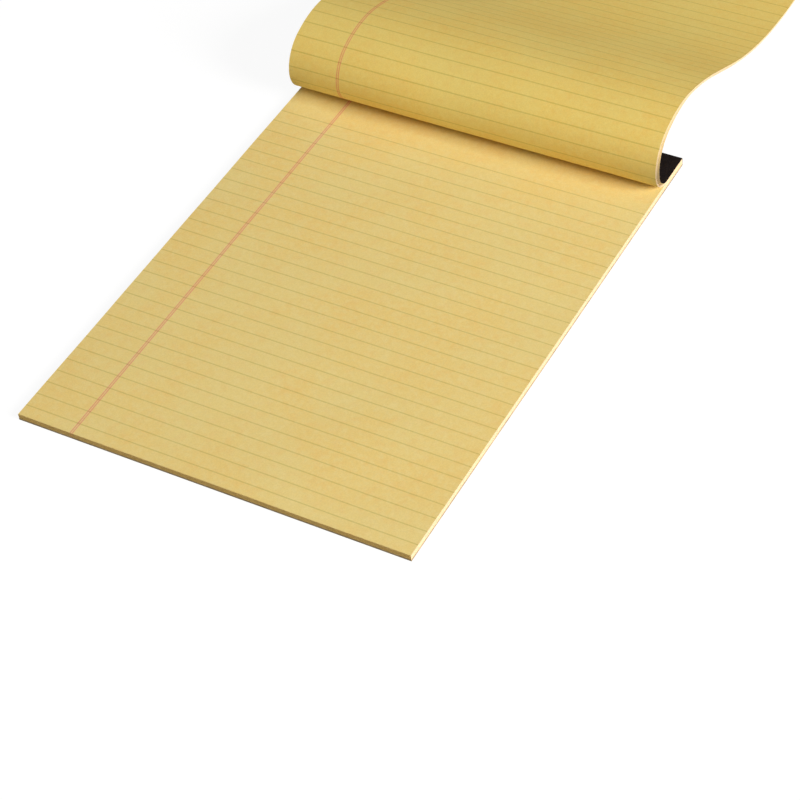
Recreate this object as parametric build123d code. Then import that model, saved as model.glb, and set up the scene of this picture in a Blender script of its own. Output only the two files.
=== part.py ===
from build123d import *
import math
import os

# A perforated, taped legal pad with its first leaves turned back over the head.
# X runs across the pad, Y from the near edge to the head, and Z up. The origin is
# the middle of the backing board's underside, on the table. Lengths are millimetres
# and angles are degrees.

# The pad as it is cut: letter size below the perforation, with a bound stub above it.
page_width = 215.9
page_length = 279.4
stub_length = 19.05

# The paper and the board.
sheet_thickness = 0.09
flat_sheet_count = 30
turned_sheet_count = 10
board_thickness = 1.0

# The perforation that each leaf tears along: short cuts in a row across the pad.
perforation_pitch = 2.0
perforation_cut = 1.3
perforation_width = 0.3

# The binding tape wraps the head. Its front edge passes the perforation, and bends
# up with the first turned leaf, a little tighter than the leaf does.
tape_thickness = 0.2
tape_lap = 4.5
tape_lap_slack = 0.5
tape_back_length = 25.4

# Flat-wire staples through the stub, under the tape.
staple_count = 3
staple_pitch = 72.0
staple_crown = 12.7
staple_wire_thickness = 0.5
staple_wire_width = 0.7
staple_bend_radius = 0.6
staple_clinch = 4.0
staple_from_perforation = 9.5
staple_clearance = 0.05

# The outermost turned leaf, from the perforation to the table: four arcs turn it
# up and over, a straight slope brings it down, and a last arc lays it flat.
fold_radius = 13.9
fold_turn = 70.0
front_radius = 20.0
crown_radius = 52.0
crown_turn = 36.0
back_radius = 157.0
back_turn = 12.0
slope_angle = 25.0
slope_run = 20.0

# The innermost turned leaf bends tighter at first, so the pack stands loose round
# the front. Over the crown it catches up, and down the slope the pack is closed,
# but for the last little gap between its leaves.
fold_slack = 4.5
front_slack = 0.5
crown_catch_up = 6.0
closed_gap = 0.4

# Derived sizes.
pad_length = page_length + stub_length
near_edge = -pad_length / 2
head_edge = pad_length / 2
perforation = near_edge + page_length
flat_pack = flat_sheet_count * sheet_thickness
turned_pack = turned_sheet_count * sheet_thickness
page_top = board_thickness + flat_pack
stub_top = page_top + turned_pack
front_turn = 180.0 + slope_angle - fold_turn - crown_turn - back_turn
slope = math.radians(slope_angle)


def across(profile, width=page_width):
    """Extrude a face in the YZ plane over the pad's width, centred on X."""
    return extrude(profile, amount=width / 2, both=True)


def slab(y_from, y_to, z_from, z_to):
    """A flat layer of the pad between two lengths and two heights."""
    middle = ((y_from + y_to) / 2, (z_from + z_to) / 2)
    outline = Plane.YZ * Pos(*middle) * Rectangle(y_to - y_from, z_to - z_from)
    return across(outline)


def arc_step(radius, heading, turn):
    """How far a clockwise arc carries a leaf along Y and up, from its heading."""
    before = math.radians(heading)
    after = math.radians(heading - turn)
    along = radius * (math.sin(before) - math.sin(after))
    rise = radius * (math.cos(after) - math.cos(before))
    return along, rise


def arcs_end(start, arcs):
    """Where a chain of clockwise arcs ends that sets out towards the near edge."""
    y, z = start
    heading = 180.0
    for radius, turn in arcs:
        along, rise = arc_step(radius, heading, turn)
        y += along
        z += rise
        heading -= turn
    return y, z


def closing_radius(inner_start, arcs, outer_start, outer_arcs):
    """The inner leaf's back radius. Its slope then lies under the outer leaf's, as
    far off as the pack is thick with the gap that stays between its leaves."""
    inward = (-math.sin(slope), -math.cos(slope))
    outer_y, outer_z = arcs_end(outer_start, outer_arcs)
    inner_y, inner_z = arcs_end(inner_start, arcs)
    offset = (inner_y - outer_y) * inward[0] + (inner_z - outer_z) * inward[1]
    along, rise = arc_step(1.0, back_turn - slope_angle, back_turn)
    gain = along * inward[0] + rise * inward[1]
    return (turned_pack + closed_gap - offset) / gain


def bend(start, heading, radius, turn):
    """A tangent arc in the YZ plane. A positive turn lifts a leaf that heads for +Y."""
    side = Vector(0, -heading.Z, heading.Y) * math.copysign(radius, turn)
    centre = start + side
    across_axis = Axis((0, 0, 0), (1, 0, 0))
    middle = centre - side.rotate(across_axis, turn / 2)
    end = centre - side.rotate(across_axis, turn)
    return ThreePointArc(start, middle, end)


def leaf_edges(start, arcs, run, landing_radius):
    """One leaf from its perforation to its free end, as tangent edges in the YZ
    plane: the arcs, the straight slope, the landing arc, and what is left of the
    leaf's length, laid flat."""
    edges = []
    tip = Vector(0, *start)
    heading = Vector(0, -1, 0)
    for radius, turn in arcs:
        edges.append(bend(tip, heading, radius, -turn))
        tip = edges[-1] @ 1
        heading = edges[-1] % 1
    edges.append(Line(tip, tip + heading * run))
    edges.append(bend(edges[-1] @ 1, heading, landing_radius, slope_angle))
    laid = page_length - sum(edge.length for edge in edges)
    tip = edges[-1] @ 1
    edges.append(Line(tip, tip + Vector(0, laid, 0)))
    return edges


def turned_leaves():
    """The outermost and the innermost turned leaf, as two chains of edges. The outer
    one lands on the pack's thickness, and the inner one on the table."""
    outer_start = (perforation, page_top)
    inner_start = (perforation, stub_top)
    outer_arcs = [
        (fold_radius, fold_turn),
        (front_radius, front_turn),
        (crown_radius, crown_turn),
        (back_radius, back_turn),
    ]
    inner_arcs = [
        (fold_radius - turned_pack - fold_slack, fold_turn),
        (front_radius - turned_pack - front_slack, front_turn),
        (crown_radius + crown_catch_up, crown_turn),
    ]
    inner_back = closing_radius(inner_start, inner_arcs, outer_start, outer_arcs)
    inner_arcs.append((inner_back, back_turn))
    outer_height = arcs_end(outer_start, outer_arcs)[1] - turned_pack
    outer_landing = (outer_height - slope_run * math.sin(slope)) / (1 - math.cos(slope))
    inner_height = arcs_end(inner_start, inner_arcs)[1]
    inner_landing = outer_landing + turned_pack
    inner_run = (inner_height - inner_landing * (1 - math.cos(slope))) / math.sin(slope)
    outer = leaf_edges(outer_start, outer_arcs, slope_run, outer_landing)
    inner = leaf_edges(inner_start, inner_arcs, inner_run, inner_landing)
    return outer, inner


def turned_section(outer, inner):
    """The section of the turned pack: both leaves, the free end and the bound stub."""
    free_end = Line(outer[-1] @ 1, inner[-1] @ 1)
    stub = Polyline(
        (0, perforation, page_top),
        (0, head_edge, page_top),
        (0, head_edge, stub_top),
        (0, perforation, stub_top),
    )
    return make_face([*outer, free_end, *inner, *stub.edges()])


def perforation_cuts():
    """The row of short cuts, through every leaf, just behind the line of the fold."""
    count = int(page_width / perforation_pitch)
    middle = (perforation + perforation_width / 2, (board_thickness + stub_top) / 2)
    cut = Box(perforation_cut, perforation_width, flat_pack + turned_pack)
    row = GridLocations(perforation_pitch, 0, count, 1)
    return [Pos(0, *middle) * place * cut for place in row]


def staple_path(x_middle):
    """The middle of the staple's wire in its own plane: the clinched end, the leg, the
    crown, the other leg and its clinched end."""
    crown_height = stub_top - staple_wire_thickness / 2
    clinch_height = tape_thickness + staple_wire_thickness / 2
    left = x_middle - staple_crown / 2
    right = x_middle + staple_crown / 2
    return FilletPolyline(
        (left + staple_clinch, clinch_height),
        (left, clinch_height),
        (left, crown_height),
        (right, crown_height),
        (right, clinch_height),
        (right - staple_clinch, clinch_height),
        radius=staple_bend_radius,
    )


def flat_wire(path, clearance=0.0):
    """Flat wire bent along a path, in the staples' plane behind the perforation."""
    side = trace(path, staple_wire_thickness + 2 * clearance)
    staple_plane = Plane.XZ.offset(-perforation - staple_from_perforation)
    return extrude(staple_plane * side, amount=staple_wire_width / 2 + clearance, both=True)


# The staples, evenly spaced about the middle, and the channel that each presses.
staples = []
channels = []
for number in range(staple_count):
    x_middle = (number - (staple_count - 1) / 2) * staple_pitch
    route = staple_path(x_middle)
    staples.append(flat_wire(route))
    channels.append(flat_wire(route, staple_clearance))

# The backing board, pressed in at the back where the tape lies flush with it.
board = slab(near_edge, head_edge, 0, board_thickness)
board -= slab(head_edge - tape_back_length, head_edge, 0, tape_thickness)

# The leaves that lie flat, and those that are turned back over the head.
flat_sheets = slab(near_edge, head_edge, board_thickness, page_top)
outer_leaf, inner_leaf = turned_leaves()
turned_sheets = across(turned_section(outer_leaf, inner_leaf))

# Every leaf is perforated, and every layer is pierced by the staples.
cuts = perforation_cuts()
flat_sheets = flat_sheets - cuts - channels
turned_sheets = turned_sheets - cuts - channels
board = board - channels

# The binding tape: a strip of one thickness, folded round the head's two edges, with
# its front edge bent up along the first turned leaf.
lap_radius = fold_radius - turned_pack - fold_slack - tape_lap_slack
lap_turn = math.degrees(tape_lap / lap_radius)
strip = Polyline(
    (0, perforation, stub_top),
    (0, head_edge, stub_top),
    (0, head_edge, tape_thickness),
    (0, head_edge - tape_back_length, tape_thickness),
    (0, head_edge - tape_back_length, 0),
    (0, head_edge + tape_thickness, 0),
    (0, head_edge + tape_thickness, stub_top + tape_thickness),
    (0, perforation, stub_top + tape_thickness),
)
towards_page = Vector(0, -1, 0)
lap_under = bend(strip @ 0, towards_page, lap_radius, -lap_turn)
lap_upper = bend(strip @ 1, towards_page, lap_radius - tape_thickness, -lap_turn)
front_edge = Line(lap_under @ 1, lap_upper @ 1)
tape_section = make_face([*strip.edges(), lap_under, front_edge, lap_upper])
tape_folds = tape_section.vertices().group_by(Axis.Y)[-1]
tape = across(fillet(tape_folds, radius=tape_thickness))

parts = {
    "backing_board": board,
    "flat_sheets": flat_sheets,
    "turned_sheets": turned_sheets,
    "binding_tape": tape,
}
for number, wire in enumerate(staples, start=1):
    parts[f"staple_{number}"] = wire

os.makedirs("parts", exist_ok=True)
for name, solid in parts.items():
    export_step(solid, f"parts/{name}.step")
    print(name, "volume", round(solid.volume, 1))
for name, leaf in (("outer leaf", outer_leaf), ("inner leaf", inner_leaf)):
    print(name, "runs", [round(edge.length, 1) for edge in leaf])
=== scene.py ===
# %% [markdown]
# # A legal pad with its first leaves turned back
# This lesson dresses a yellow writing pad. Its solids come from the CAD model as a
# fixed frame: a board, a block of leaves that lie flat, a block that is turned back
# over the head, a strip of black tape, and three staples under it. Paper is what the
# eye sees, so both blocks are built again here as single leaves, each as thick as
# real paper and each pierced by the same row of cuts. The board, the tape and the
# wire keep their own solids and only get a finish.

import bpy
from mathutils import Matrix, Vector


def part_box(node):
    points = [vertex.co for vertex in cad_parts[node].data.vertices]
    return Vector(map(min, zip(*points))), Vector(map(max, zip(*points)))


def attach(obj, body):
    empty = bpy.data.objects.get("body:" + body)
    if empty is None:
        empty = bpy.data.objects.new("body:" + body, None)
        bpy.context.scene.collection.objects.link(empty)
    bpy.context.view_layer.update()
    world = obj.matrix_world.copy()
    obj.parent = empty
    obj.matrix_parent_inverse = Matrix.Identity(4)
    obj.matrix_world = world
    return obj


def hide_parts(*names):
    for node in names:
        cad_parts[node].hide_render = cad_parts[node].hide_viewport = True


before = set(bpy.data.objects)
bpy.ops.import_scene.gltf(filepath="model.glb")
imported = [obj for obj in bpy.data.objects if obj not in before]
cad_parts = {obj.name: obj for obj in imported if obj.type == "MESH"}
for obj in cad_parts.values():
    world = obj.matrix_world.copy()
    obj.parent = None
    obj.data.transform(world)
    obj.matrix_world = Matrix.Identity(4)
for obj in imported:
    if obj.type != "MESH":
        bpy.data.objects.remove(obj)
print("the frame has", sorted(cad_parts))

# %% The tools of the lesson
import math
import random

import bpy
from mathutils import Matrix, Vector

MM = 0.001
print("Blender", bpy.app.version_string)

# %% [markdown]
# Blender opens with a cube, a lamp and a camera of its own. They go before anything
# is measured, so that the box of the solids is the pad's and nothing else's.

# %% Clear Blender's own things
for name in ("Cube", "Light", "Camera"):
    if name in bpy.data.objects:
        bpy.data.objects.remove(bpy.data.objects[name])
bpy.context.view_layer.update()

# %% [markdown]
# ## What the frame already knows
# The pad lies along Y with its head at the far end, X runs across it, and the table
# is at zero height. Widths, edges and heights are read from the packed solids, so
# the leaves fit them to the last hundredth. Only what a solid can't tell is named
# here: how thick one leaf is, how many there are, and how long a page is.

# %% Sizes of the pad
LEAF = 0.09 * MM
FLAT_LEAVES = 30
TURNED_LEAVES = 10
PAGE_LENGTH = 279.4 * MM

flat_low, flat_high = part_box("flat_sheets")
left_edge, near_edge, board_top = flat_low
right_edge, head_edge, page_top = flat_high
page_width = right_edge - left_edge
perforation = near_edge + PAGE_LENGTH
stub_length = head_edge - perforation
print("page", round(page_width / MM, 2), "by", round(PAGE_LENGTH / MM, 2), "mm")
print("stub", round(stub_length / MM, 2), "mm, page top", round(page_top / MM, 2), "mm")

# %% [markdown]
# ## The row of cuts
# Each leaf tears off along a row of short cuts with narrow ties of paper between
# them. A picture on the paper could only pretend that, and the ties show when the
# pad is seen from behind, so they are cut for real. Every leaf gets the same corners
# along that row: the ends of each cut, from the left edge of the pad to the right.

# %% Corners along the row of cuts
CUT_PITCH = 2.0 * MM
CUT_LENGTH = 1.3 * MM
CUT_WIDTH = 0.3 * MM
ROUNDING = 0.001

cut_count = int(page_width / CUT_PITCH + ROUNDING)
first_cut = (left_edge + right_edge) / 2 - (cut_count - 1) * CUT_PITCH / 2
cut_row = [left_edge]
for number in range(cut_count):
    middle = first_cut + number * CUT_PITCH
    cut_row += [middle - CUT_LENGTH / 2, middle + CUT_LENGTH / 2]
cut_row.append(right_edge)
print(cut_count, "cuts, with", cut_count + 1, "ties between them")

# %% [markdown]
# ## How a turned leaf bends
# Paper that is folded over loosely has no corner in it. From the row of cuts it goes
# up in a tight bend, over a wider front and a wide crown, down a short straight
# slope, and then it flattens out on the table. A curve through points picked by eye
# would wander, and its length would be wrong. A chain of tangent arcs has true bends,
# and each place on it is found by its distance along the leaf, which is also what
# the printed lines need later.

# %% Walking along a chain of bends
def walk(start, bends, distance=math.inf):
    """The place and heading that a leaf has reached after some distance, or at its
    end. Each bend is a length and the angle that it turns through. A straight run
    turns none."""
    y, z = start
    heading = math.pi
    for length, turn in bends:
        part = min(distance, length)
        angle = turn * part / length
        if turn:
            radius = length / turn
            y += radius * (math.sin(heading + angle) - math.sin(heading))
            z += radius * (math.cos(heading) - math.cos(heading + angle))
        else:
            y += part * math.cos(heading)
            z += part * math.sin(heading)
        heading += angle
        distance -= part
    return y, z, heading


quarter = walk((0.0, 0.0), [(1.0, -math.pi / 2)])
print("a quarter turn 1 m long ends at", [round(value, 3) for value in quarter[:2]])

# %% [markdown]
# The outermost leaf has the bends of the CAD model. An inner leaf differs from it by
# its depth in the pack and by its slack, which is its share of the air between the
# leaves. The loosest shape turns much tighter at the fold, a little wider over the
# front and a little tighter over the crown, and on the slope all leaves come together.

# %% The bends of the outermost leaf, and how the loosest shape differs
FOLD_RADIUS, FOLD_TURN = 13.9 * MM, math.radians(70)
FRONT_RADIUS, FRONT_TURN = 20.0 * MM, math.radians(87)
CROWN_RADIUS, CROWN_TURN = 52.0 * MM, math.radians(36)
BACK_RADIUS, BACK_TURN = 157.0 * MM, math.radians(12)
SLOPE_RUN = 20.0 * MM
SLOPE = FOLD_TURN + FRONT_TURN + CROWN_TURN + BACK_TURN - math.pi

FOLD_TIGHTER = 4.5 * MM
FRONT_WIDER = 1.2 * MM
CROWN_TIGHTER = 3.0 * MM
CLOSED_GAP = 0.4 * MM


def arcs_of(depth, slack):
    """The bends that a leaf begins with, at some depth in the pack. Slack goes from
    0 for the outermost leaf to 1 for the loosest shape, which no leaf quite takes."""
    arcs = [
        (FOLD_RADIUS - depth - slack * FOLD_TIGHTER, FOLD_TURN),
        (FRONT_RADIUS - depth + slack * FRONT_WIDER, FRONT_TURN),
        (CROWN_RADIUS - slack * CROWN_TIGHTER, CROWN_TURN),
    ]
    return [(radius * turn, -turn) for radius, turn in arcs]


print("the slope falls at", round(math.degrees(SLOPE), 1), "degrees")

# %% [markdown]
# Three things close the chain. The back bend is as large as it must be for a leaf's
# slope to lie under the outermost slope. The last bend grows with depth, so that the
# leaves land on one another. The straight run between them is as long as it must be
# for the leaf to reach its own level over the table.

# %% The whole chain of one turned leaf
top_bends = arcs_of(0, 0) + [(BACK_RADIUS * BACK_TURN, -BACK_TURN)]
top_y, top_z, heading = walk((perforation, page_top), top_bends)
landing_flattens = 1 - math.cos(SLOPE)
tail_height = TURNED_LEAVES * LEAF
top_landing = (top_z - tail_height - SLOPE_RUN * math.sin(SLOPE)) / landing_flattens


def turned_leaf(number, slack):
    """Where a turned leaf starts, and all its bends as far as its free end."""
    depth = number * LEAF
    start = (perforation, page_top + depth)
    bends = arcs_of(depth, slack)
    y, z, heading = walk(start, bends)
    missing = depth + slack * CLOSED_GAP
    missing += (y - top_y) * math.sin(SLOPE) + (z - top_z) * math.cos(SLOPE)
    before = heading - BACK_TURN
    step_y = math.sin(heading) - math.sin(before)
    step_z = math.cos(before) - math.cos(heading)
    radius = -missing / (step_y * math.sin(SLOPE) + step_z * math.cos(SLOPE))
    bends.append((radius * BACK_TURN, -BACK_TURN))
    y, z, heading = walk(start, bends)
    landing = top_landing + depth
    level = tail_height - depth
    run = (z - level - landing * landing_flattens) / math.sin(SLOPE)
    bends += [(run, 0.0), (landing * SLOPE, SLOPE)]
    laid = PAGE_LENGTH - sum(length for length, turn in bends)
    return start, bends + [(laid, 0.0)]


for number, slack in ((0, 0.0), (TURNED_LEAVES - 1, 1.0)):
    start, bends = turned_leaf(number, slack)
    runs = [round(length / MM, 1) for length, turn in bends]
    print("leaf", number, "at slack", slack, "runs", runs)
    print("  ends at", [round(value / MM, 2) for value in walk(start, bends)[:2]])

# %% [markdown]
# ## Paper that isn't perfectly flat
# A pack of leaves is never a perfect drum. The whole pack leans a little further out
# at its left end, and each leaf ripples by a tenth of a millimetre or so, which is
# just enough for soft light to find. Noise could make the ripples, but a few sine
# waves with random places and sizes are smooth and cheap. Leaves that lie on each
# other ripple together, so one pattern serves a pack.

# %% Ripples
RIPPLE = 0.16 * MM
WAVES = 6
WAVES_ACROSS = (5, 14)
WAVES_DOWN = (4, 17)
SEED = 29

draw = random.Random(SEED)
ripples = [(draw.uniform(*WAVES_ACROSS), draw.uniform(*WAVES_DOWN), draw.uniform(0, math.tau))
           for wave in range(WAVES)]


def ripple(x, along):
    """How far the paper rises at a place on the leaf, from about -1 to 1."""
    waves = [math.sin(math.tau * (across * x + down * along) + shift) for across, down, shift in ripples]
    return sum(waves) / (WAVES / 2)


print("ripples of", round(RIPPLE / MM, 2), "mm")

# %% The lean of the fold
LEAN = 1.6 * MM
LEAN_START, LEAN_FULL, LEAN_END = 4 * MM, 24 * MM, 80 * MM


def ease(value, low, high):
    """0 below low, 1 above high, and a smooth rise between them."""
    share = min(max((value - low) / (high - low), 0.0), 1.0)
    return share * share * (3 - 2 * share)


def lean(x, along):
    """How far the pack leans out over the page at a place on the leaf."""
    share = (right_edge - x) / page_width
    rise = ease(along, LEAN_START, LEAN_FULL)
    fall = 1 - ease(along, LEAN_FULL, LEAN_END)
    return LEAN * share * rise * fall


print("lean of", round(lean(left_edge, LEAN_FULL) / MM, 2), "mm at the left")

# %% [markdown]
# ## One leaf, as a closed thin solid
# A leaf could be a flat grid with a Solidify modifier. Here it is built directly,
# because each of its two sides carries its own print, and the print has to follow
# the paper round the bends. Every corner stores where it lies on its side of the
# leaf: how far right of the margin line, and how far below the first ruled line.
# The shader draws the lines from those two numbers, so they bend with the paper.
#
# Each side is laid out in rows. There are wide grid squares on the page, one narrow
# strip that gathers them to the corners of the cuts, the ties, and the stub.

# %% Helpers for rows of corners
def steps(low, high, size):
    """Even steps from low to high, none longer than size."""
    count = math.ceil((high - low) / size)
    return [low + (high - low) * number / count for number in range(count + 1)]


def squares(lower, upper):
    """The faces between two rows with as many corners."""
    return [[lower[i], lower[i + 1], upper[i + 1], upper[i]] for i in range(len(lower) - 1)]


def rim(faces):
    """The edges that only one face has: the leaf's outline and round each cut."""
    edges = {}
    for corners in faces:
        for start, end in zip(corners, corners[1:] + corners[:1]):
            edges[start, end] = (end, start) in edges
            if edges[start, end]:
                edges[end, start] = True
    return [edge for edge, shared in edges.items() if not shared]


print("two squares side by side have", len(rim(squares([0, 1, 2], [3, 4, 5]))), "outer edges")

# %% [markdown]
# The print of a leaf is a ruled line every 11/32 of an inch, and a margin line. The
# two sides are printed on separate rollers, so they don't line up exactly.

# %% The paper mesh
LINE_PITCH = 8.73125 * MM
FRONT_FIRST_LINE, FRONT_MARGIN = 27.9 * MM, 31.0 * MM
BACK_FIRST_LINE, BACK_MARGIN = 20.6 * MM, 30.1 * MM
SHEET_FACE, CUT_FACE = 0, 1


class PaperMesh:
    """Gathers the corners and faces of many leaves, and makes one object of them."""

    def __init__(self):
        self.corners = []
        self.print_places = []
        self.faces = []
        self.finishes = []
        self.smooth = []

    def corner(self, place, spot):
        """Adds a corner, and its place in the print: how far right of the margin line,
        how far below the first line, and 0 or 1 for the back or the front."""
        self.corners.append(place)
        self.print_places.append((spot[0] / MM, spot[1] / MM, spot[2]))
        return len(self.corners) - 1

    def face(self, corners, finish, smooth=False):
        """Adds a face by its corners."""
        self.faces.append(corners)
        self.finishes.append(finish)
        self.smooth.append(smooth)

    def side(self, place, rows, columns, front):
        """Adds one side of a leaf. Returns its corners in order, and its faces."""
        first_line = FRONT_FIRST_LINE if front else BACK_FIRST_LINE
        margin = FRONT_MARGIN if front else BACK_MARGIN
        rungs = [(columns, along) for along in reversed(rows)]
        rungs += [(cut_row, 0.0), (cut_row, -CUT_WIDTH), ([left_edge, right_edge], -stub_length)]
        skin = []
        for across, along in rungs:
            skin.append([])
            for x in across:
                spot = (x - left_edge - margin, along - first_line, front)
                skin[-1].append(self.corner(place(x, along, front), spot))
        faces = []
        for lower, upper in zip(skin, skin[1:len(rows)]):
            faces += [(quad, True) for quad in squares(lower, upper)]
        gather, near, far, head = skin[-4:]
        faces.append((gather + near[::-1], False))
        faces += [(near[tie:tie + 2] + far[tie:tie + 2][::-1], False) for tie in range(0, len(near), 2)]
        faces.append((far + head[::-1], False))
        for corners, smooth in faces:
            self.face(corners if front else corners[::-1], SHEET_FACE, smooth)
        return [number for row in skin for number in row], [corners for corners, smooth in faces]

    def leaf(self, place, rows, columns):
        """Adds a leaf. place gives a point from x, the distance from the row of cuts,
        and the side, which is 0 for the back and 1 for the printed front. A wall's
        corners store no print, only 1 on a left or right edge and 0 elsewhere."""
        back, back_faces = self.side(place, rows, columns, 0)
        front, front_faces = self.side(place, rows, columns, 1)
        opposite = dict(zip(front, back))
        for start, end in rim(front_faces):
            on_side = float(self.corners[start][0] == self.corners[end][0])
            wall = [end, start, opposite[start], opposite[end]]
            self.face([self.corner(self.corners[number], (0, 0, on_side)) for number in wall], CUT_FACE)

    def build(self, name):
        """Makes the object, with its two finishes still to come."""
        mesh = bpy.data.meshes.new(name)
        mesh.from_pydata(self.corners, [], self.faces)
        mesh.polygons.foreach_set("material_index", self.finishes)
        mesh.polygons.foreach_set("use_smooth", self.smooth)
        places = mesh.attributes.new("print_place", "FLOAT_VECTOR", "POINT")
        places.data.foreach_set("vector", [value for spot in self.print_places for value in spot])
        mesh.update()
        made = bpy.data.objects.new(name, mesh)
        bpy.context.scene.collection.objects.link(made)
        return made


print("lines every", round(LINE_PITCH / MM, 3), "mm")

# %% [markdown]
# ## The flat pack
# Thirty leaves lie under the turned ones. A pad is trimmed after it is bound, so its
# sides are flush, but never to the last hundredth: each leaf stops up to a few
# hundredths short, and a thin seam of air lies between leaves. That is what makes the
# sides look like paper and not like a block. Only the top leaf is seen from above, so
# only it gets a grid and a ripple.

# %% Thirty flat leaves
TRIM_ERROR = 0.07 * MM
SEAM = 0.012 * MM
GATHER = 1.0 * MM
FLAT_GRID = 9 * MM
FLAT_CALM = 30 * MM

coarse_rows = [GATHER, PAGE_LENGTH]
coarse_columns = [left_edge, right_edge]
fine_rows = steps(GATHER, PAGE_LENGTH, FLAT_GRID)
fine_columns = steps(left_edge, right_edge, FLAT_GRID)


def trims_of_leaf():
    """How short one leaf stops at the left, the right and the near edge."""
    return [draw.uniform(0, TRIM_ERROR) for edge in range(3)]


def trimmed_x(x, left, right):
    """A place across the leaf, moved in where it is on a trimmed side."""
    if x == left_edge:
        return x + left
    if x == right_edge:
        return x - right
    return x


def flat_place(number, trims):
    """Where each point of one flat leaf goes."""
    top = number == FLAT_LEAVES - 1
    left, right, near = trims

    def place(x, along, front):
        y = perforation - along
        if along == PAGE_LENGTH:
            y += near
        z = board_top + (number + front) * LEAF - SEAM * front
        if top and along > 0:
            z += RIPPLE * (1 + ripple(x, along)) * 0.5 * ease(along, GATHER, FLAT_CALM)
        return trimmed_x(x, left, right), y, z

    return place


pack = PaperMesh()
for number in range(FLAT_LEAVES):
    on_top = number == FLAT_LEAVES - 1
    rows, columns = (fine_rows, fine_columns) if on_top else (coarse_rows, coarse_columns)
    pack.leaf(flat_place(number, trims_of_leaf()), rows, columns)
flat_pack = pack.build("flat_leaves")
print("flat pack has", len(flat_pack.data.polygons), "faces")

# %% [markdown]
# ## The turned pack
# Ten leaves have been used and turned over. They share out the air in the pack
# unevenly, as fingers leave them: most lie close behind the outermost leaf, and the
# last few stand open towards the loosest shape. Copies of one leaf, bent by a
# modifier, would all be alike. Here each follows its own chain of bends, so their free
# ends stop one after another on the table. The rows of the grid lie closest where the
# paper bends most. The ripples fade out at the row of cuts, which holds the paper
# straight, and on the table.

# %% Ten turned leaves
SLACK_SHARES = [0.0, 0.04, 0.08, 0.13, 0.19, 0.26, 0.35, 0.50, 0.68, 0.86]
FOLD_END, BENDS_END = 30 * MM, 150 * MM
FOLD_GRID, BEND_GRID, LAID_GRID = 1.1 * MM, 2.2 * MM, 4 * MM
ACROSS_GRID = 14 * MM
CUTS_CALM = 25 * MM
TABLE_CALM = 215 * MM

fold_rows = steps(GATHER, FOLD_END, FOLD_GRID)
bent_rows = steps(FOLD_END, BENDS_END, BEND_GRID)
laid_rows = steps(BENDS_END, PAGE_LENGTH, LAID_GRID)
turned_rows = fold_rows + bent_rows[1:] + laid_rows[1:]
turned_columns = steps(left_edge, right_edge, ACROSS_GRID)


def turned_place(number, trims):
    """Where each point of one turned leaf goes. Its back faces out, and its front
    looks at the table."""
    start, bends = turned_leaf(number, SLACK_SHARES[number])
    left, right, near = trims
    reached = {}

    def place(x, along, front):
        thickness = (LEAF - SEAM) * front
        if along <= 0:
            return trimmed_x(x, left, right), perforation - along, start[1] + thickness
        if along not in reached:
            reached[along] = walk(start, bends, along - near * (along == PAGE_LENGTH))
        y, z, heading = reached[along]
        lively = ease(along, GATHER, CUTS_CALM) * (1 - ease(along, BENDS_END, TABLE_CALM))
        inward = thickness - RIPPLE * ripple(x, along) * lively
        y += inward * math.sin(heading) - lean(x, along)
        z -= inward * math.cos(heading)
        return trimmed_x(x, left, right), y, z

    return place


pack = PaperMesh()
for number in range(TURNED_LEAVES):
    pack.leaf(turned_place(number, trims_of_leaf()), turned_rows, turned_columns)
turned_pack = pack.build("turned_leaves")
print("turned pack has", len(turned_pack.data.polygons), "faces")

# %% [markdown]
# ## Shader maths that reads like maths
# A finish is a tree of small nodes. Written one node at a time it hides its own
# idea, so one small class stands for an output and lets Python's signs add the maths
# nodes. A second class is the finish itself, with one method for every other node.

# %% Outputs that can be added and multiplied
class Output:
    """One output of a node. Maths on it adds nodes to the same finish."""

    def __init__(self, finish, socket):
        self.finish = finish
        self.socket = socket

    def maths(self, operation, *values):
        """A Math node of one operation, with these values on its sockets."""
        inputs = dict(enumerate(values))
        return self.finish.node("ShaderNodeMath", {"operation": operation}, inputs)

    def __add__(self, other):
        return self.maths("ADD", self, other)

    def __sub__(self, other):
        return self.maths("SUBTRACT", self, other)

    def __rsub__(self, other):
        return self.maths("SUBTRACT", other, self)

    def __mul__(self, other):
        return self.maths("MULTIPLY", self, other)

    def __truediv__(self, other):
        return self.maths("DIVIDE", self, other)

    def __mod__(self, other):
        return self.maths("FLOORED_MODULO", self, other)

    def __gt__(self, other):
        return self.maths("GREATER_THAN", self, other)

    def __lt__(self, other):
        return self.maths("LESS_THAN", self, other)

    def __abs__(self):
        return self.maths("ABSOLUTE", self)

    __radd__ = __add__
    __rmul__ = __mul__


print("signs that work from the right:", [name for name in vars(Output) if name.startswith("__r")])

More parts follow.
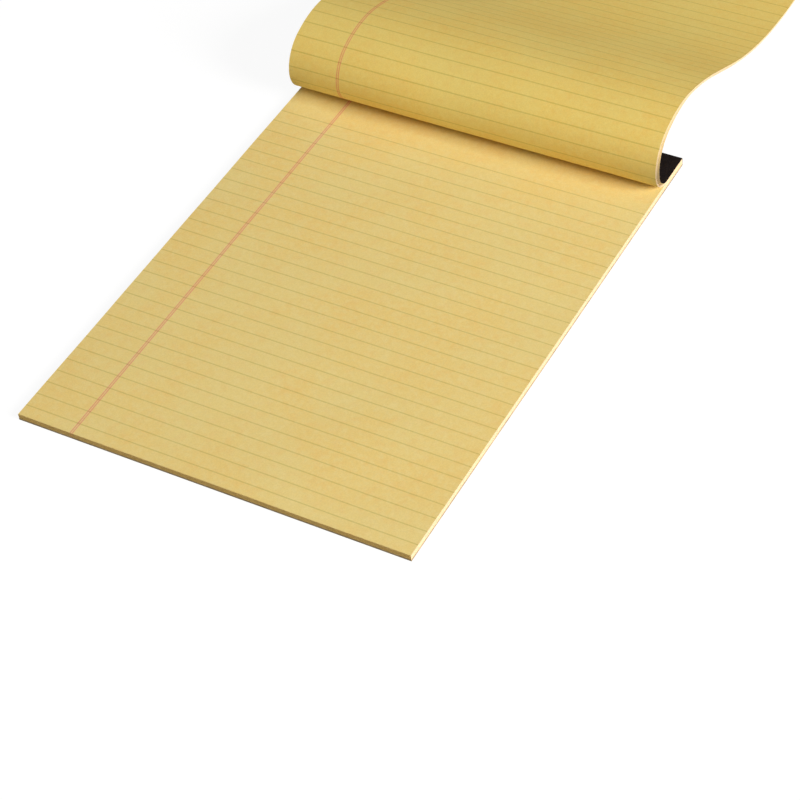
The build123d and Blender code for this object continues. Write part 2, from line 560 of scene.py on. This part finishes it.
# %% A finish and its nodes
class Finish:
    """The nodes of a material or of the world, which it clears and starts anew."""

    def __init__(self, owner):
        owner.use_nodes = True
        self.owner = owner
        self.tree = owner.node_tree
        self.tree.nodes.clear()

    def node(self, kind, settings=None, inputs=None, output=0):
        """Adds a node: first its settings, then the values or links of its sockets."""
        made = self.tree.nodes.new(kind)
        for name, value in (settings or {}).items():
            setattr(made, name, value)
        for name, value in (inputs or {}).items():
            if isinstance(value, Output):
                self.tree.links.new(value.socket, made.inputs[name])
            else:
                made.inputs[name].default_value = value
        return Output(self, made.outputs[output] if output is not None else None)

    def places(self, stretch=(1, 1, 1)):
        """Places on the object in metres, stretched along the axes."""
        spots = self.node("ShaderNodeTexCoord", output="Object")
        return self.node("ShaderNodeVectorMath", {"operation": "MULTIPLY"}, {0: spots, 1: stretch})

    def along_axis(self, vector, axis):
        """The part of a vector along one axis."""
        return self.node("ShaderNodeSeparateXYZ", {}, {0: vector}, axis)

    def noise(self, scale, detail=2.0, stretch=(1, 1, 1), roughness=0.5):
        """Smooth noise from 0 to 1, with this many waves to a metre."""
        inputs = {"Vector": self.places(stretch), "Scale": scale, "Detail": detail, "Roughness": roughness}
        return self.node("ShaderNodeTexNoise", {}, inputs, "Fac")

    def between(self, value, low, high, start=0.0, end=1.0):
        """start below low, end above high, and a smooth change between them."""
        settings = {"interpolation_type": "SMOOTHSTEP"}
        inputs = {"Value": value, "From Min": low, "From Max": high, "To Min": start, "To Max": end}
        return self.node("ShaderNodeMapRange", settings, inputs, "Result")

    def mix(self, share, first, second, way="MIX"):
        """Mixes two colours by a share from 0 to 1."""
        settings = {"data_type": "RGBA", "blend_type": way, "clamp_factor": True}
        return self.node("ShaderNodeMix", settings, {0: share, 6: first, 7: second}, 2)

    def bump(self, height, distance, strength=1.0):
        """A normal from a height of 0 to 1, for relief this many metres deep."""
        inputs = {"Height": height, "Distance": distance, "Strength": strength}
        return self.node("ShaderNodeBump", {}, inputs, "Normal")

    def surface(self, **inputs):
        """Ends the finish in a Principled shader with these sockets."""
        named = {name.replace("_", " "): value for name, value in inputs.items()}
        return self.end(self.node("ShaderNodeBsdfPrincipled", {}, named))

    def end(self, shader, kind="ShaderNodeOutputMaterial"):
        """Joins a shader to the output, and returns what the finish was made for."""
        self.node(kind, {}, {"Surface": shader}, output=None)
        return self.owner


def colour(red, green, blue):
    """A colour given as a screen shows it, from 0 to 255, as the light it gives back."""
    return tuple((value / 255) ** 2.2 for value in (red, green, blue)) + (1.0,)


print("half way up a screen's scale gives back", round(colour(128, 128, 128)[0], 2))

# %% [markdown]
# ## The print
# The lines are thin green-blue ink that turns grey-green on yellow, and the margin is
# a pair of red lines. An image could carry them, but it would blur close up. A
# formula stays sharp: the print takes the two numbers that every corner of a leaf
# stores, and asks how far a place is from the nearest line. The margin runs on past
# the row of cuts and ends under the tape. The ink multiplies the colour of the paper,
# as real thin ink does, and it is never quite solid, so a fine noise takes some of it
# away. Widths and places in the print are in millimetres, as the corners store them.

# %% Lines and margin
LINES = 29
LINE_WIDTH = 0.66
MARGIN_WIDTH = 0.52
MARGIN_PAIR = 1.1
INK_EDGE = 0.40
MARGIN_TOP = (-30.0, -29.0)

LINE_INK = colour(226, 229, 211)
MARGIN_INK = colour(246, 170, 232)
INK_GAPS, GAP_RANGE, THINNEST_INK = 2600, (0.30, 0.62), 0.70


def print_spot(finish, axis):
    """What the corners of a leaf store: X right of the margin and Y below the first
    line, in millimetres, and Z for the side."""
    spot = finish.node("ShaderNodeAttribute", {"attribute_name": "print_place"}, output="Vector")
    return finish.along_axis(spot, axis)


def ink(finish, distance, width):
    """How much ink lies at a distance from the middle of a printed line."""
    inside = (width - INK_EDGE) / 2
    return finish.between(distance, inside, inside + INK_EDGE, 1.0, 0.0)


def printed(finish, paper):
    """The colour of the paper with its ruled lines and its margin on it."""
    right = print_spot(finish, "X")
    down = print_spot(finish, "Y")
    pitch = LINE_PITCH / MM
    to_line = abs((down / pitch + 0.5) % 1.0 - 0.5) * pitch
    on_page = (down > -pitch / 2) * (down < (LINES - 0.5) * pitch)
    solid = finish.between(finish.noise(INK_GAPS), *GAP_RANGE, THINNEST_INK, 1.0)
    ruled = ink(finish, to_line, LINE_WIDTH) * on_page * solid
    to_margin = abs(abs(right) - MARGIN_PAIR / 2)
    below_top = finish.between(down, *MARGIN_TOP)
    margin = ink(finish, to_margin, MARGIN_WIDTH) * solid * below_top
    ruled_paper = finish.mix(ruled, paper, LINE_INK, "MULTIPLY")
    return finish.mix(margin, ruled_paper, MARGIN_INK, "MULTIPLY")


print(LINES, "lines on each side, margin lines", MARGIN_PAIR, "mm apart")

# %% [markdown]
# ## Canary paper
# Cheap yellow writing paper is dyed in the pulp and left uncoated. Close up it is
# cloudy, because fibres settle unevenly, and it has hardly any gloss. One flat yellow
# would look like plastic, so several sizes of noise, from clouds to single fibres,
# shift it between near tints. The back is tinted deeper and less blue, which is
# painted shade on the outer side of the turned leaves. Where the knife trimmed the
# sides, a pale fringe of cut fibres shows along the very edge.

# %% The paper's own colour
PAPER = colour(238, 214, 137)
PAPER_WARM = colour(240, 210, 129)
PAPER_PALE = colour(241, 220, 151)
# Painted shade: the back, which the turned leaves show outward, is tinted deeper and less blue.
BACK_PAINTED_SHADE = (0.94, 0.91, 0.67, 1.0)
BLUSH_TINT = (1.0, 0.955, 0.93, 1.0)
FIBRE_SHADE = (0.93, 0.93, 0.92, 1.0)
FRAYED = colour(250, 232, 186)

DRIFT, WARM_RANGE = 24, (0.35, 0.65)
FORMATION, PALE_RANGE, MOST_PALE = 420, (0.35, 0.75), 0.5
BLUSH, BLUSH_RANGE = 190, (0.45, 0.75)
FIBRE, FIBRE_RANGE, FIBRE_GRIT = 1500, (0.34, 0.66), 0.7
FRAY, FRAY_RIM = 0.25 * MM, 0.3


def paper_colour(finish):
    """Dyed pulp: a cloudy tint, warmer here and paler there, and painted shade on the back."""
    cloud = finish.noise(FORMATION, detail=3.0)
    warm = finish.mix(finish.between(finish.noise(DRIFT), *WARM_RANGE), PAPER, PAPER_WARM)
    front = finish.mix(finish.between(cloud, *PALE_RANGE, 0.0, MOST_PALE), warm, PAPER_PALE)
    blush = finish.between(finish.noise(BLUSH, detail=3.0), *BLUSH_RANGE)
    front = finish.mix(blush, front, BLUSH_TINT, "MULTIPLY")
    fibres = finish.between(finish.noise(FIBRE, roughness=FIBRE_GRIT), *FIBRE_RANGE)
    front = finish.mix(fibres, front, FIBRE_SHADE, "MULTIPLY")
    # The painted shade goes on the back side only.
    with_back_painted_shade = finish.mix(1 - print_spot(finish, "Z"), front, BACK_PAINTED_SHADE, "MULTIPLY")
    across = finish.along_axis(finish.places(), "X")
    fray = finish.between(abs(across), right_edge - FRAY, right_edge - FRAY_RIM * FRAY)
    return finish.mix(fray, with_back_painted_shade, FRAYED)


print("clouds of", round(1 / FORMATION / MM, 1), "mm, fibres of", round(1 / FIBRE / MM, 1), "mm")

# %% [markdown]
# The surface is matt, with a fine tooth over soft pillows. Real relief would need
# millions of faces, and a Bump node is enough for heights this small. Noise rarely
# strays beyond 0.3 and 0.7, so that range is spread over the roughness of a finish.

# %% The paper's surface
TOOTH, TOOTH_SHARE = 3000, 0.6
RELIEF, RELIEF_STRENGTH = 0.03 * MM, 0.6
POLISH, SHEET_ROUGHNESS = 900, (0.72, 0.88)
MOST_NOISE = (0.3, 0.7)


def paper_relief(finish):
    """The felt side of paper: a fine tooth over soft pillows."""
    tooth = finish.noise(TOOTH, detail=3.0)
    pillow = finish.noise(FORMATION)
    height = tooth * TOOTH_SHARE + pillow * (1 - TOOTH_SHARE)
    return finish.bump(height, RELIEF, RELIEF_STRENGTH)


sheet = Finish(bpy.data.materials.new("canary_paper"))
sheet_finish = sheet.surface(
    Base_Color=printed(sheet, paper_colour(sheet)),
    Roughness=sheet.between(sheet.noise(POLISH), *MOST_NOISE, *SHEET_ROUGHNESS),
    Normal=paper_relief(sheet),
    Specular_IOR_Level=0.28,
)
print("paper finish has", len(sheet.tree.nodes), "nodes")

# %% [markdown]
# ## Trimmed edges
# The trimmed edges are the same paper with its fibres cut open. A stack of them shows
# fine streaks along its leaves, and upright marks where the knife dragged. The left
# and right sides are painted paler, which is painted light, and the near end and the
# other walls across a leaf are painted deeper, which is painted shade. Stretched noise
# gives the streaks and the marks, and the number that a wall's corners store chooses
# between the painted light and the painted shade.

# %% The trimmed edges
# The end tints are painted shade, deeper, for the near end and the walls across a leaf. The side tints are
# painted light, paler, for the left and right sides.
END_PALE_PAINTED_SHADE = colour(240, 202, 124)
END_DEEP_PAINTED_SHADE = colour(218, 173, 95)
SIDE_PALE_PAINTED_LIGHT = colour(226, 199, 166)
SIDE_DEEP_PAINTED_LIGHT = colour(214, 183, 147)
STREAK, STREAK_SHARE, STREAK_RANGE = 220, 0.7, (0.32, 0.66)
DRAG, DRAG_RELIEF, DRAG_STRENGTH = 1500, 0.02 * MM, 0.5
THIN_LAYERS, TALL_MARKS = (1, 1, 60), (1, 1, 0.2)
EDGE_ROUGHNESS = (0.85, 0.95)

trimmed = Finish(bpy.data.materials.new("trimmed_paper"))
streaks = trimmed.noise(STREAK, detail=3.0, stretch=THIN_LAYERS)
drag = trimmed.noise(DRAG, stretch=TALL_MARKS)
edge_share = trimmed.between(streaks * STREAK_SHARE + drag * (1 - STREAK_SHARE), *STREAK_RANGE)
# Painted shade on the end walls and painted light on the side walls, each streaked by the same noise.
end_tint_painted_shade = trimmed.mix(edge_share, END_DEEP_PAINTED_SHADE, END_PALE_PAINTED_SHADE)
side_tint_painted_light = trimmed.mix(edge_share, SIDE_DEEP_PAINTED_LIGHT, SIDE_PALE_PAINTED_LIGHT)
trimmed_finish = trimmed.surface(
    Base_Color=trimmed.mix(print_spot(trimmed, "Z"), end_tint_painted_shade, side_tint_painted_light),
    Roughness=trimmed.between(drag, *MOST_NOISE, *EDGE_ROUGHNESS),
    Normal=trimmed.bump(drag, DRAG_RELIEF, DRAG_STRENGTH),
    Specular_IOR_Level=0.15,
)
print("edge finish has", len(trimmed.tree.nodes), "nodes")

# %% [markdown]
# ## Chipboard
# The back is grey-brown chipboard: pressed waste paper, with pale and dark flecks on
# its faces and its layers to be seen on its edges. Its solid from the CAD model is
# right as it is, so it only needs noise in three shapes: round clumps of pulp, flecks
# that lie across the board, and flat layers.

# %% Chipboard
BOARD = colour(184, 160, 122)
BOARD_DARK = colour(154, 132, 98)
BOARD_PALE = colour(212, 192, 156)
PULP = 160
FLECK, FLECK_STRETCH, FLECK_RANGE, MOST_FLECK = 900, (0.35, 1, 1), (0.62, 0.72), 0.7
LAYER, LAYER_STRETCH, LAYER_RANGE, MOST_LAYER = 60, (1, 1, 80), (0.45, 0.75), 0.5
BOARD_RELIEF, BOARD_STRENGTH = 0.06 * MM, 0.7
BOARD_ROUGHNESS = (0.82, 0.94)

board = Finish(bpy.data.materials.new("chipboard_finish"))
pulp = board.noise(PULP, detail=4.0)
flecks = board.noise(FLECK, stretch=FLECK_STRETCH)
layers = board.noise(LAYER, detail=3.0, stretch=LAYER_STRETCH)
tone = board.mix(board.between(pulp, *MOST_NOISE), BOARD_DARK, BOARD)
tone = board.mix(board.between(layers, *LAYER_RANGE, 0.0, MOST_LAYER), tone, BOARD_DARK)
tone = board.mix(board.between(flecks, *FLECK_RANGE, 0.0, MOST_FLECK), tone, BOARD_PALE)
board_finish = board.surface(
    Base_Color=tone,
    Roughness=board.between(pulp, *MOST_NOISE, *BOARD_ROUGHNESS),
    Normal=board.bump((flecks + pulp) * 0.5, BOARD_RELIEF, BOARD_STRENGTH),
    Specular_IOR_Level=0.2,
)
print("chipboard has", len(board.tree.nodes), "nodes")

# %% [markdown]
# ## Binding tape
# The binding is black paper tape with a fine leather grain pressed into it, slightly
# shiny on the tops of the grain. A smooth Voronoi pattern makes round cells with soft
# valleys between them, which is what such a roller leaves. The tops are rubbed a
# little grey in places.

# %% Binding tape
TAPE = colour(22, 16, 17)
TAPE_WORN = colour(46, 38, 39)
GRAIN, GRAIN_STRETCH, GRAIN_RANGE = 1500, (1, 0.8, 1), (0.1, 0.75)
RUBBING, RUBBED_RANGE, MOST_RUBBED = 70, (0.5, 0.75), 0.5
PIMPLE, PIMPLE_SHARE = 6000, 0.15
TAPE_RELIEF, TAPE_STRENGTH = 0.05 * MM, 0.8
TAPE_ROUGHNESS = (0.62, 0.42)

tape = Finish(bpy.data.materials.new("tape_finish"))
cell_inputs = {"Vector": tape.places(GRAIN_STRETCH), "Scale": GRAIN, "Smoothness": 0.6}
cells = tape.node("ShaderNodeTexVoronoi", {"feature": "SMOOTH_F1"}, cell_inputs, "Distance")
pebble = 1 - tape.between(cells, *GRAIN_RANGE)
rubbed = tape.between(tape.noise(RUBBING, detail=3.0), *RUBBED_RANGE) * pebble
pimples = tape.noise(PIMPLE, detail=1.0)
tape_finish = tape.surface(
    Base_Color=tape.mix(rubbed * MOST_RUBBED, TAPE, TAPE_WORN),
    Roughness=tape.between(pebble, 0.0, 1.0, *TAPE_ROUGHNESS),
    Normal=tape.bump(pebble + pimples * PIMPLE_SHARE, TAPE_RELIEF, TAPE_STRENGTH),
    Specular_IOR_Level=0.25,
)
print("tape has", len(tape.tree.nodes), "nodes")

# %% [markdown]
# ## Stitching wire
# The wire is bright steel, drawn through a die, so it has fine lines along it. A
# shader with a stretched highlight could hint at them. Noise that is stretched along
# the staple's crown shows the lines themselves, and needs only two tints.

# %% Stitching wire
WIRE = colour(196, 197, 200)
WIRE_DULL = colour(150, 150, 152)
DRAWN, DRAWN_STRETCH = 3000, (0.05, 1, 1)
WIRE_ROUGHNESS = (0.25, 0.45)

wire = Finish(bpy.data.materials.new("wire_finish"))
drawn = wire.noise(DRAWN, stretch=DRAWN_STRETCH)
wire_finish = wire.surface(
    Base_Color=wire.mix(wire.between(drawn, *MOST_NOISE), WIRE, WIRE_DULL),
    Roughness=wire.between(drawn, *MOST_NOISE, *WIRE_ROUGHNESS),
    Metallic=1.0,
)
print("wire has", len(wire.tree.nodes), "nodes")

# %% [markdown]
# ## Each piece gets its finish and its body
# Nothing on a pad moves, so every piece rides on the one body. The leaves stand for
# the two solid packs, which stay in the physics model and are hidden here.

# %% Dress the pieces
for piece, node in ((flat_pack, "flat_sheets"), (turned_pack, "turned_sheets")):
    piece.data.materials.append(sheet_finish)
    piece.data.materials.append(trimmed_finish)
    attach(piece, "root")
    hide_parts(node)

carried = {"backing_board": board_finish, "binding_tape": tape_finish}
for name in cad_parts:
    if name.startswith("staple"):
        carried[name] = wire_finish
for name, finish in carried.items():
    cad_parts[name].data.materials[0] = finish
print("kept", sorted(carried), "and replaced both packs")

# %% [markdown]
# ## The white table
# The pad lies on white. A white floor under a lamp strong enough to burn it out would
# throw yellow and white light back at the pad, so the table is grey and gives little
# light back. Only to the camera does it also shine by itself, which makes it white in
# the picture, adds no light to the pad, and keeps the pad's soft shadow. It lies a
# hair under the board, so that the two faces never fight for the same place.

# %% White table
TABLE_SIZE = 12.0
TABLE_GREY = (0.22, 0.22, 0.22, 1.0)
SHADOW_GREY = (0.10, 0.10, 0.10, 1.0)
TABLE_GLOW = 0.94
TABLE_DROP = 0.02 * MM


def seen_ray(finish):
    """1 for what the camera sees, straight, in a reflection or through glass."""
    rays = [finish.node("ShaderNodeLightPath", output=name)
            for name in ("Is Camera Ray", "Is Glossy Ray", "Is Transmission Ray")]
    return rays[0].maths("MAXIMUM", rays[0], rays[1].maths("MAXIMUM", rays[1], rays[2]))


table = Finish(bpy.data.materials.new("table_finish"))
matt = table.node("ShaderNodeBsdfDiffuse", {}, {"Color": TABLE_GREY})
shade = table.node("ShaderNodeBsdfDiffuse", {}, {"Color": SHADOW_GREY})
glow = table.node("ShaderNodeEmission", {}, {"Strength": TABLE_GLOW})
seen = table.node("ShaderNodeAddShader", {}, {0: shade, 1: glow})
table_finish = table.end(table.node("ShaderNodeMixShader", {}, {0: seen_ray(table), 1: matt, 2: seen}))

bpy.ops.mesh.primitive_plane_add(size=TABLE_SIZE, location=(0, 0, -TABLE_DROP))
table_top = bpy.context.object
table_top.name = "table_top"
table_top.data.materials.append(table_finish)
print("table is", TABLE_SIZE, "m wide")

# %% [markdown]
# ## Light
# One broad, slightly warm light stands low on the right and a little towards the near
# end, so the right edges glow, the fold throws its shade, and the near edge stays dim.
# A weak light in front, near the table, lifts that shade, and another on the left
# keeps the far side from going black. The world is white to the camera and nearly dark
# to the pad, because light from all round would wash the fold's shade away.

# %% Lights
SKY_LIGHT = 0.03
WHITE = (1.0, 1.0, 1.0, 1.0)
WARM_LIGHT = (1.03, 1.0, 0.97)
PAD_MIDDLE = (0.0, 0.05, 0.0)


def softbox(name, place, size, watts, tint=(1, 1, 1)):
    """A square lamp that looks at the middle of the pad."""
    lamp = bpy.data.lights.new(name, "AREA")
    lamp.shape = "SQUARE"
    lamp.size = size
    lamp.energy = watts
    lamp.color = tint
    made = bpy.data.objects.new(name, lamp)
    made.location = place
    made.rotation_euler = (Vector(PAD_MIDDLE) - Vector(place)).to_track_quat("-Z", "Y").to_euler()
    bpy.context.scene.collection.objects.link(made)


softbox("key_light", place=(3.60, -0.27, 1.72), size=1.6, watts=286.0, tint=WARM_LIGHT)
softbox("front_light", place=(0.30, -2.92, 0.42), size=0.7, watts=13.5)
softbox("left_light", place=(-3.60, 0.30, 0.80), size=1.6, watts=23.0)

room = Finish(bpy.data.worlds.new("white_room"))
dim = room.node("ShaderNodeBackground", {}, {"Color": WHITE, "Strength": SKY_LIGHT})
bright = room.node("ShaderNodeBackground", {}, {"Color": WHITE, "Strength": 1.0})
sky = room.node("ShaderNodeMixShader", {}, {0: seen_ray(room), 1: dim, 2: bright})
bpy.context.scene.world = room.end(sky, "ShaderNodeOutputWorld")
bpy.context.scene.view_settings.view_transform = "Standard"

# %% [markdown]
# ## Camera
# The camera stands out beyond the near right corner and looks down at about half a
# right angle. Its place and lens were worked out from the printed lines: they are
# known to be evenly spaced and square to the sides, so their picture gives the camera
# away.

# %% Camera
CAMERA_PLACE = (0.50144, -0.74752, 0.82756)
LOOKS_LEFT = math.radians(33.095)
LOOKS_DOWN = math.radians(45.325)
TILTS = math.radians(-6.420)
LENS = 109.40
SENSOR = 36.0
NEAR_LIMIT = 0.05

lens = bpy.data.cameras.new("camera")
lens.lens = LENS
lens.sensor_width = SENSOR
lens.clip_start = NEAR_LIMIT
ahead = Vector((-math.sin(LOOKS_LEFT) * math.cos(LOOKS_DOWN),
                math.cos(LOOKS_LEFT) * math.cos(LOOKS_DOWN),
                -math.sin(LOOKS_DOWN)))
level_right = ahead.cross((0, 0, 1)).normalized()
level_up = level_right.cross(ahead)
right = math.cos(TILTS) * level_right + math.sin(TILTS) * level_up
up = right.cross(ahead)
aim = Matrix((right, up, -ahead)).transposed().to_4x4()
camera = bpy.data.objects.new("camera", lens)
camera.matrix_world = Matrix.Translation(CAMERA_PLACE) @ aim
bpy.context.scene.collection.objects.link(camera)
bpy.context.scene.camera = camera
print("camera looks along", tuple(round(value, 3) for value in ahead))

# %% [markdown] The dressed pad is meant to be no bigger than its solids, but for a hair of ripple.
